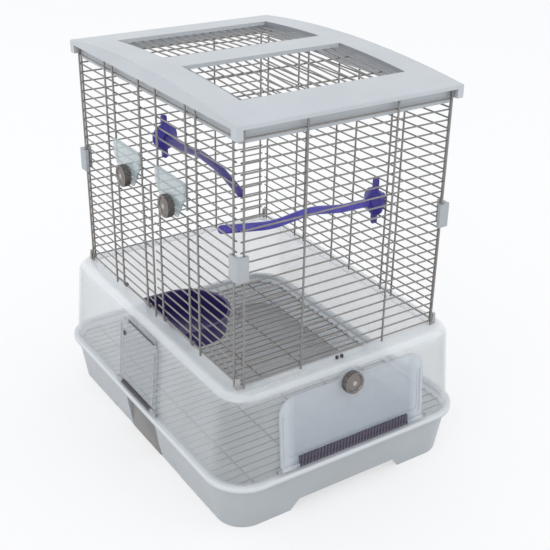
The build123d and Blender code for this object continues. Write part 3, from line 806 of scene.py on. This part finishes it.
def turned_knob(reach):
    """A fluted knob with a sunk face and a low dome in it, on its spindle, drawn along Z."""
    deselect()
    bpy.ops.mesh.primitive_cylinder_add(
        vertices=KNOB_FLUTES,
        radius=KNOB_R * MM,
        depth=(KNOB_TOP - KNOB_LOW) * MM,
        location=(0, 0, (KNOB_TOP + KNOB_LOW) / 2 * MM),
    )
    knob = settle(bpy.context.object)
    mesh = edit(knob, "FACE")
    select(mesh, mesh.faces, lambda f: f.normal.z > 0.9)
    for ring, rise in KNOB_RINGS:
        bpy.ops.mesh.inset(thickness=ring * MM)
        bpy.ops.transform.translate(value=(0, 0, rise * MM))

    def on_wall(face):
        return abs(face.normal.z) < 0.1 and face.calc_center_median().xy.length > (KNOB_R - 2.0) * MM

    mesh = edit(knob, "FACE")
    wall = sorted(filter(on_wall, mesh.faces), key=lambda f: math.atan2(f.normal.y, f.normal.x))
    for face in wall[::2]:
        face.select_set(True)
    bpy.ops.mesh.inset(thickness=FLUTE_INSET * MM, depth=-FLUTE_DEPTH * MM, use_individual=True)

    def on_rim(vertex):
        off = min(abs(vertex.co.z - z * MM) for z in (KNOB_LOW, KNOB_TOP))
        return off < TOUCH and vertex.co.xy.length > (KNOB_R - 0.1) * MM

    mesh = edit(knob)
    select(mesh, mesh.edges, lambda e: all(map(on_rim, e.verts)))
    bpy.ops.mesh.bevel(offset=KNOB_BEVEL * MM, segments=3)
    bpy.ops.object.mode_set(mode="OBJECT")
    spindle = round_bar((0, 0, KNOB_LOW + 0.01), (0, 0, -reach), SPINDLE_R, 24)
    return joined("knob", [knob, spindle])


def knob_button():
    """The bright button in the middle of a knob."""
    deselect()
    bpy.ops.mesh.primitive_cylinder_add(
        vertices=32,
        radius=BUTTON_R * MM,
        depth=(BUTTON_TOP - BUTTON_LOW) * MM,
        location=(0, 0, (BUTTON_TOP + BUTTON_LOW) / 2 * MM),
    )
    button = settle(bpy.context.object)
    mesh = edit(button)
    select(mesh, mesh.edges, lambda e: all(v.co.z > (BUTTON_TOP - 0.4) * MM for v in e.verts))
    bpy.ops.mesh.bevel(offset=BUTTON_BEVEL * MM, segments=4)
    bpy.ops.object.mode_set(mode="OBJECT")
    return button


def block(size, place=(0, 0, 0)):
    """A block to start from, round a place."""
    deselect()
    bpy.ops.mesh.primitive_cube_add(size=1, location=Vector(place) * MM, scale=Vector(size) * MM)
    return settle(bpy.context.object)


def rounded_block(size, corner, edge):
    """A flat block drawn round the origin, with round corners in plan and softened edges."""
    slab = block(size)

    def climb(part):
        return abs(part.verts[0].co.z - part.verts[1].co.z)

    def sharp_and_level(part):
        return climb(part) < TOUCH and len(part.link_faces) == 2 and part.calc_face_angle() > 1.2

    mesh = edit(slab)
    select(mesh, mesh.edges, lambda e: climb(e) > TOUCH)
    bpy.ops.mesh.bevel(offset=corner * MM, segments=6)
    mesh = edit(slab)
    select(mesh, mesh.edges, sharp_and_level)
    bpy.ops.mesh.bevel(offset=edge * MM, segments=2)
    bpy.ops.object.mode_set(mode="OBJECT")
    return slab


for side, node, plane, reach in (
    ("right", "right_latch_knob", front_plane(*RIGHT_SPINDLE), FRONT_SPINDLE_REACH),
    ("left", "left_latch_knob", front_plane(*LEFT_SPINDLE), FRONT_SPINDLE_REACH),
    ("end", "end_door_knob", shifted(END_HATCH_PLANE, *END_SPINDLE), END_SPINDLE_REACH),
):
    knob = placed(turned_knob(reach), plane)
    knob.name = f"{side}_turned_knob"
    finish_piece(knob, node, angle=40)
    button = placed(knob_button(), plane)
    button.name = f"{side}_knob_button"
    finish_piece(button, body=body_of[node], slot="steel")


def softened(name, node, width):
    """A copy of a CAD node with its sharp edges rounded off."""
    copy = bpy.data.objects.new(name, frame["nodes"][node].data.copy())
    bpy.context.collection.objects.link(copy)
    pick(copy)
    bpy.ops.object.mode_set(mode="EDIT")
    bpy.ops.mesh.select_all(action="SELECT")
    bpy.ops.mesh.remove_doubles(threshold=TOUCH)
    bpy.ops.mesh.dissolve_limited(angle_limit=math.radians(0.5))
    bpy.ops.object.mode_set(mode="OBJECT")
    bevel = copy.modifiers.new("edges", "BEVEL")
    bevel.width = width * MM
    bevel.segments = 2
    bevel.limit_method = "ANGLE"
    bevel.angle_limit = math.radians(30)
    return apply_all(copy)


for name, node, width in (
    ("snap_clips", "corner_clips", 0.5),
    ("right_plate", "right_latch_plate", 0.35),
    ("left_plate", "left_latch_plate", 0.35),
):
    finish_piece(softened(name, node, width), node)


def apron(side):
    """The tray's foot carried across the front, from the recess to the end of its arch."""
    plate = block((1, APRON_T, APRON_H))
    mesh = edit(plate)
    for v in mesh.verts:
        outer, low = v.co.x > 0, v.co.z < 0
        v.co.x = side * (APRON_OUT_X[0 if low else 1] if outer else APRON_IN_X) * MM
        v.co.z += (APRON_LOW + APRON_H / 2) * MM
        v.co.y += (APRON_SUNK - CAGE_HALF_Y - FOOT_OUT) * MM - v.co.z * FOOT_LEAN
    bmesh.update_edit_mesh(plate.data)
    bpy.ops.mesh.select_all(action="SELECT")
    bpy.ops.mesh.normals_make_consistent(inside=False)
    bpy.ops.mesh.bevel(offset=0.4 * MM, segments=2)
    bpy.ops.object.mode_set(mode="OBJECT")
    plate.name = f"{'right' if side > 0 else 'left'}_foot_apron"
    finish_piece(plate, body="cage", slot="tray_plastic")


for side in (-1, 1):
    apron(side)


def skirt_band():
    """The roof's inner band, which shows behind the wires all round."""
    half_x, half_y = SKIRT_HALF
    mid_x, mid_y, mid_z = half_x - SKIRT_T / 2, half_y - SKIRT_T / 2, SEAT_Z - SKIRT_H / 2
    along_x = (2 * half_x, SKIRT_T, SKIRT_H)
    along_y = (SKIRT_T, 2 * (half_y - SKIRT_T), SKIRT_H)
    lowest = (SEAT_Z - SKIRT_H + 0.1) * MM
    strips = []
    for size, place in (
        (along_x, (0, mid_y, mid_z)),
        (along_x, (0, -mid_y, mid_z)),
        (along_y, (mid_x, 0, mid_z)),
        (along_y, (-mid_x, 0, mid_z)),
    ):
        strip = block(size, place)
        mesh = edit(strip)
        select(mesh, mesh.edges, lambda e: all(v.co.z < lowest for v in e.verts))
        bpy.ops.mesh.bevel(offset=0.5 * MM, segments=2)
        bpy.ops.object.mode_set(mode="OBJECT")
        strips.append(strip)
    finish_piece(joined("roof_inner_band", strips), body="cage", slot="roof_plastic")


skirt_band()


def small_part(name, body, slot, plane, size, corner, edge):
    """A rounded block laid flat on a plane."""
    thing = placed(rounded_block(size, corner, edge), plane)
    thing.name = name
    finish_piece(thing, body=body, slot=slot)


# A dark sheet at the back of the front recess: painted shade and painted reflection.
small_part(
    "recess_shade_sheet",
    "cage",
    "tray_plastic",
    front_plane(*RECESS_AT),
    size=(82.8, 52.0, 0.9),
    corner=1.0,
    edge=0.25,
)
# A dark strip in the slot along the narrow hatch's top edge: painted shade in the slot.
small_part(
    "front_hatch_slot_shade",
    "front_hatch",
    "sleeve_plastic",
    shifted(FRONT_HATCH_PLANE, *SLOT_SHADE_AT),
    size=(75.6, 4.1, 1.4),
    corner=2.0,
    edge=0.2,
)
small_part(
    "front_hatch_nib",
    "front_hatch",
    "sleeve_plastic",
    shifted(FRONT_HATCH_PLANE, *NIB_AT),
    size=(4.5, 6.0, 1.6),
    corner=1.2,
    edge=0.4,
)
for name, place in CATCHES_AT.items():
    small_part(
        f"{name}_guard_catch",
        "cage",
        "sleeve_plastic",
        Matrix.Translation(Vector(place) * MM),
        size=(3.6, 3.4, 4.0),
        corner=0.9,
        edge=0.5,
    )


# Stage, light and camera
def lay_floor():
    """A floor that shows white, with the cage's shadow still on it."""
    deselect()
    bpy.ops.mesh.primitive_plane_add(size=12, location=(0, 0, 0))
    floor = bpy.context.object
    floor.name = "floor"
    finish = Finish("floor", roughness=0.7)
    finish.colour((0.9, 0.9, 0.9))
    white = finish.node("ShaderNodeEmission", {}, {"Color": (1, 1, 1), "Strength": 1.0})
    path = finish.node("ShaderNodeLightPath")
    seen, glossy, through = (Number(finish, path.outputs[name]) for name in SEEN_RAYS)
    share = FLOOR_WHITE * (seen + glossy + through).clamped()
    sockets = {0: share, 1: finish.shader.outputs[0], 2: white.outputs[0]}
    mix = finish.node("ShaderNodeMixShader", {}, sockets)
    finish.feed(finish.output, "Surface", mix.outputs[0])
    floor.data.materials.append(finish.material)


def light_room():
    """Soft light from all round, with a white that only the camera, gloss and glass see."""
    world = bpy.data.worlds.new("room")
    bpy.context.scene.world = world
    world.use_nodes = True
    tree = world.node_tree
    tree.nodes.clear()
    output = tree.nodes.new("ShaderNodeOutputWorld")
    mix = tree.nodes.new("ShaderNodeMixShader")
    path = tree.nodes.new("ShaderNodeLightPath")
    for k, (colour, strength) in enumerate(((SKY_COLOUR, SKY_STRENGTH), ((1, 1, 1, 1), 1.0))):
        background = tree.nodes.new("ShaderNodeBackground")
        background.inputs["Color"].default_value = colour
        background.inputs["Strength"].default_value = strength
        tree.links.new(background.outputs[0], mix.inputs[k + 1])
    share = path.outputs[SEEN_RAYS[0]]
    for name in SEEN_RAYS[1:]:
        larger = tree.nodes.new("ShaderNodeMath")
        larger.operation = "MAXIMUM"
        tree.links.new(share, larger.inputs[0])
        tree.links.new(path.outputs[name], larger.inputs[1])
        share = larger.outputs[0]
    tree.links.new(share, mix.inputs[0])
    tree.links.new(mix.outputs[0], output.inputs[0])
    for name, place, power in (
        ("key", (1.2, -2.2, 2.6), 17),
        ("fill", (-2.2, -1.4, 1.6), 7),
        ("rim", (1.6, 2.0, 2.2), 9),
    ):
        deselect()
        bpy.ops.object.light_add(type="AREA", location=place)
        lamp = bpy.context.object
        lamp.name = name
        lamp.data.size = LAMP_WIDTH
        lamp.data.energy = power
        aim = Vector((0, 0, 0.25)) - Vector(place)
        lamp.rotation_euler = aim.to_track_quat("-Z", "Y").to_euler()


def set_camera():
    """Where the photograph was taken from, solved from the cage's own corners."""
    azimuth, elevation, roll = map(math.radians, CAMERA_TURN)
    back = Vector(
        (
            math.sin(azimuth) * math.cos(elevation),
            -math.cos(azimuth) * math.cos(elevation),
            math.sin(elevation),
        )
    )
    right = (-back).cross(Vector((0, 0, 1))).normalized()
    up = right.cross(-back)
    across = math.cos(roll) * right + math.sin(roll) * up
    upright = -math.sin(roll) * right + math.cos(roll) * up
    deselect()
    bpy.ops.object.camera_add()
    camera = bpy.context.object
    place = Matrix((across, upright, back)).transposed().to_4x4()
    place.translation = Vector(CAMERA_PLACE)
    camera.matrix_world = place
    camera.data.sensor_width = SENSOR
    camera.data.lens = FOCAL_PIXELS / PHOTO_PIXELS * SENSOR
    bpy.context.scene.camera = camera


lay_floor()
light_room()
set_camera()
bpy.context.scene.view_settings.view_transform = "Standard"
